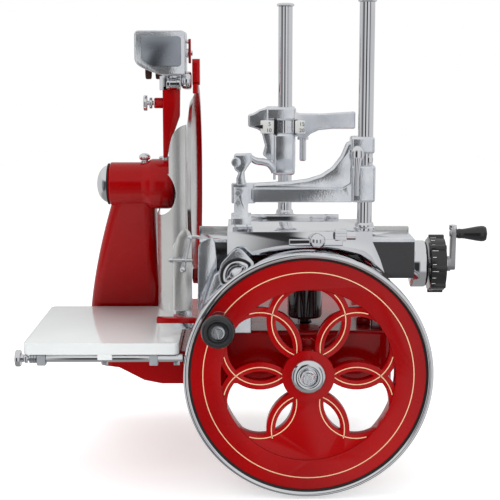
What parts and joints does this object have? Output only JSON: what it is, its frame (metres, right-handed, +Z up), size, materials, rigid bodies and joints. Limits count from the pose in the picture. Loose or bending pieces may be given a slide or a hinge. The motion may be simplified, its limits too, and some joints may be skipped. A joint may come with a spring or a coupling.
{
  "type": "deli slicer",
  "caption": "Hand-cranked flywheel meat slicer: enamelled base and column, round blade, screw-fed table on a sliding carriage, clamp arms and slice tray.",
  "frame": {"origin": "centre of the four mounting holes, on the underside of the base", "axes": "+Z up; X along the feed, with the blade towards -X and the feed crank towards +X; Y away from the operator, with the flywheel on the -Y side"},
  "size_m": [0.793, 0.597, 0.815],
  "materials": {
    "red_enamel": "gloss",
    "chrome": "polished",
    "polished_alloy": "polished",
    "stainless": "satin",
    "steel": "machined",
    "bronze": "machined",
    "black_enamel": "gloss",
    "black_plastic": "gloss",
    "grey_nylon": "satin",
    "white_enamel": "gloss",
    "grinding_stone": "matt abrasive"
  },
  "bodies": {
    "base": {"base_casting": "red_enamel", "base_cover": "steel", "shaft_bushes": "bronze", "blade_column": "red_enamel", "blade_bearings": "steel", "hub_cap": "chrome", "oil_cup": "chrome", "blade_guard": "red_enamel", "guide_rod": "chrome", "rod_standards": "polished_alloy", "side_rail": "steel", "tray_rods": "chrome", "tray_clips": "grey_nylon", "lower_guard": "polished_alloy", "sharpener_post": "red_enamel", "sharpener_bracket": "chrome", "sharpener_cover": "polished_alloy", "drive_chain": "steel"},
    "flywheel": {"flywheel": "red_enamel", "wheel_rim": "chrome", "hub_washer": "chrome", "hub_bolt": "chrome", "main_shaft": "steel", "drive_pinions": "steel", "grip_stud": "chrome"},
    "grip": {"crank_grip": "black_plastic"},
    "crank": {"crank_wheel": "steel"},
    "link": {"connecting_rod": "steel"},
    "countershaft": {"cross_shaft": "steel", "cross_bevel": "steel", "drive_sprocket": "steel"},
    "blade": {"blade": "stainless", "blade_flange": "stainless", "blade_shaft": "steel", "blade_sprocket": "steel"},
    "carriage": {"carriage_body": "black_enamel", "carriage_top": "polished_alloy", "back_rail": "stainless", "guide_sleeve": "chrome", "drive_block": "black_enamel", "roller_pin": "chrome", "feed_housing": "chrome"},
    "roller": {"carriage_roller": "grey_nylon"},
    "feed_screw": {"lead_screw": "steel", "feed_dial": "black_plastic", "feed_crank": "steel"},
    "feed_handle": {"feed_handle": "black_plastic"},
    "table": {"meat_table": "polished_alloy", "meat_columns": "chrome", "column_caps": "chrome", "feed_nut": "bronze"},
    "near_clamp": {"near_arm": "polished_alloy"},
    "near_lever": {"arm_lever": "chrome"},
    "gripper": {"gripper": "polished_alloy"},
    "far_clamp": {"far_arm": "polished_alloy"},
    "far_screw": {"arm_clamp_screw": "chrome"},
    "stones": {"sharpener_stones": "grinding_stone"},
    "sharpener_lever": {"sharpener_lever": "red_enamel"},
    "deflector": {"slice_deflector": "stainless"},
    "tray": {"slice_tray": "white_enamel"}
  },
  "joints": [
    {"name": "flywheel_spin", "type": "hinge", "parent": "base", "child": "flywheel", "pos_m": [0.03, -0.23, 0.028], "axis": [0, 1, 0], "continuous": true},
    {"name": "grip_spin", "type": "hinge", "parent": "flywheel", "child": "grip", "pos_m": [-0.11557, -0.23, 0.12074], "axis": [0, 1, 0], "continuous": true},
    {"name": "crank_spin", "type": "hinge", "parent": "base", "child": "crank", "pos_m": [0.03, 0.13, 0.056], "axis": [0, 0, 1], "continuous": true},
    {"name": "link_swing", "type": "hinge", "parent": "crank", "child": "link", "pos_m": [0.03, 0.015, 0.065], "axis": [0, 0, 1], "continuous": true},
    {"name": "countershaft_spin", "type": "hinge", "parent": "base", "child": "countershaft", "pos_m": [-0.2, 0.175, 0.028], "axis": [1, 0, 0], "continuous": true},
    {"name": "blade_spin", "type": "hinge", "parent": "base", "child": "blade", "pos_m": [-0.164, 0.025, 0.318], "axis": [1, 0, 0], "continuous": true},
    {"name": "carriage_stroke", "type": "slide", "parent": "base", "child": "carriage", "axis": [0, 1, 0], "range_m": [0, 0.23]},
    {"name": "roller_spin", "type": "hinge", "parent": "carriage", "child": "roller", "pos_m": [0.15, -0.095, 0.1593], "axis": [1, 0, 0], "continuous": true},
    {"name": "table_feed", "type": "slide", "parent": "carriage", "child": "table", "axis": [1, 0, 0], "range_m": [-0.04, 0.06]},
    {"name": "feed_screw_turn", "type": "hinge", "parent": "carriage", "child": "feed_screw", "pos_m": [0.25, -0.1, 0.193], "axis": [1, 0, 0], "range_deg": [-2880, 4320]},
    {"name": "feed_handle_spin", "type": "hinge", "parent": "feed_screw", "child": "feed_handle", "pos_m": [0.31, -0.1, 0.245], "axis": [1, 0, 0], "continuous": true},
    {"name": "near_clamp_height", "type": "slide", "parent": "table", "child": "near_clamp", "axis": [0, 0, 1], "range_m": [-0.003, 0.2]},
    {"name": "near_clamp_lever", "type": "hinge", "parent": "near_clamp", "child": "near_lever", "pos_m": [0.11, -0.18, 0.387], "axis": [0, 1, 0], "range_deg": [0, 60]},
    {"name": "gripper_tilt", "type": "hinge", "parent": "near_clamp", "child": "gripper", "pos_m": [-0.08, -0.155, 0.316], "axis": [0, 1, 0], "range_deg": [-12, 12]},
    {"name": "far_clamp_height", "type": "slide", "parent": "table", "child": "far_clamp", "axis": [0, 0, 1], "range_m": [-0.05, 0.17]},
    {"name": "far_clamp_screw", "type": "hinge", "parent": "far_clamp", "child": "far_screw", "pos_m": [0.03, 0.015, 0.4], "axis": [0, 0, 1], "range_deg": [0, 120]},
    {"name": "sharpener_lever_turn", "type": "hinge", "parent": "base", "child": "sharpener_lever", "pos_m": [-0.18, 0.025, 0.551], "axis": [1, 0, 0], "range_deg": [0, 35]},
    {"name": "stones_drop", "type": "slide", "parent": "base", "child": "stones", "axis": [0, 0, 1], "range_m": [-0.006, 0]},
    {"name": "deflector_swing", "type": "hinge", "parent": "base", "child": "deflector", "pos_m": [-0.171, -0.15, 0.25], "axis": [0, 0, 1], "range_deg": [0, 16]},
    {"name": "tray_slide", "type": "slide", "parent": "base", "child": "tray", "axis": [0, -1, 0], "range_m": [0, 0.1]}
  ],
  "couplings": [
    {"joint": "crank_spin", "follows": "flywheel_spin", "ratio": 0.36364},
    {"joint": "link_swing", "follows": "flywheel_spin", "ratio": -0.36364},
    {"joint": "countershaft_spin", "follows": "flywheel_spin", "ratio": -1},
    {"joint": "blade_spin", "follows": "flywheel_spin", "ratio": -1.3636},
    {"joint": "feed_screw_turn", "follows": "table_feed", "rad_per_m": 1256.6},
    {"joint": "stones_drop", "follows": "sharpener_lever_turn", "m_per_rad": -0.0098221}
  ]
}
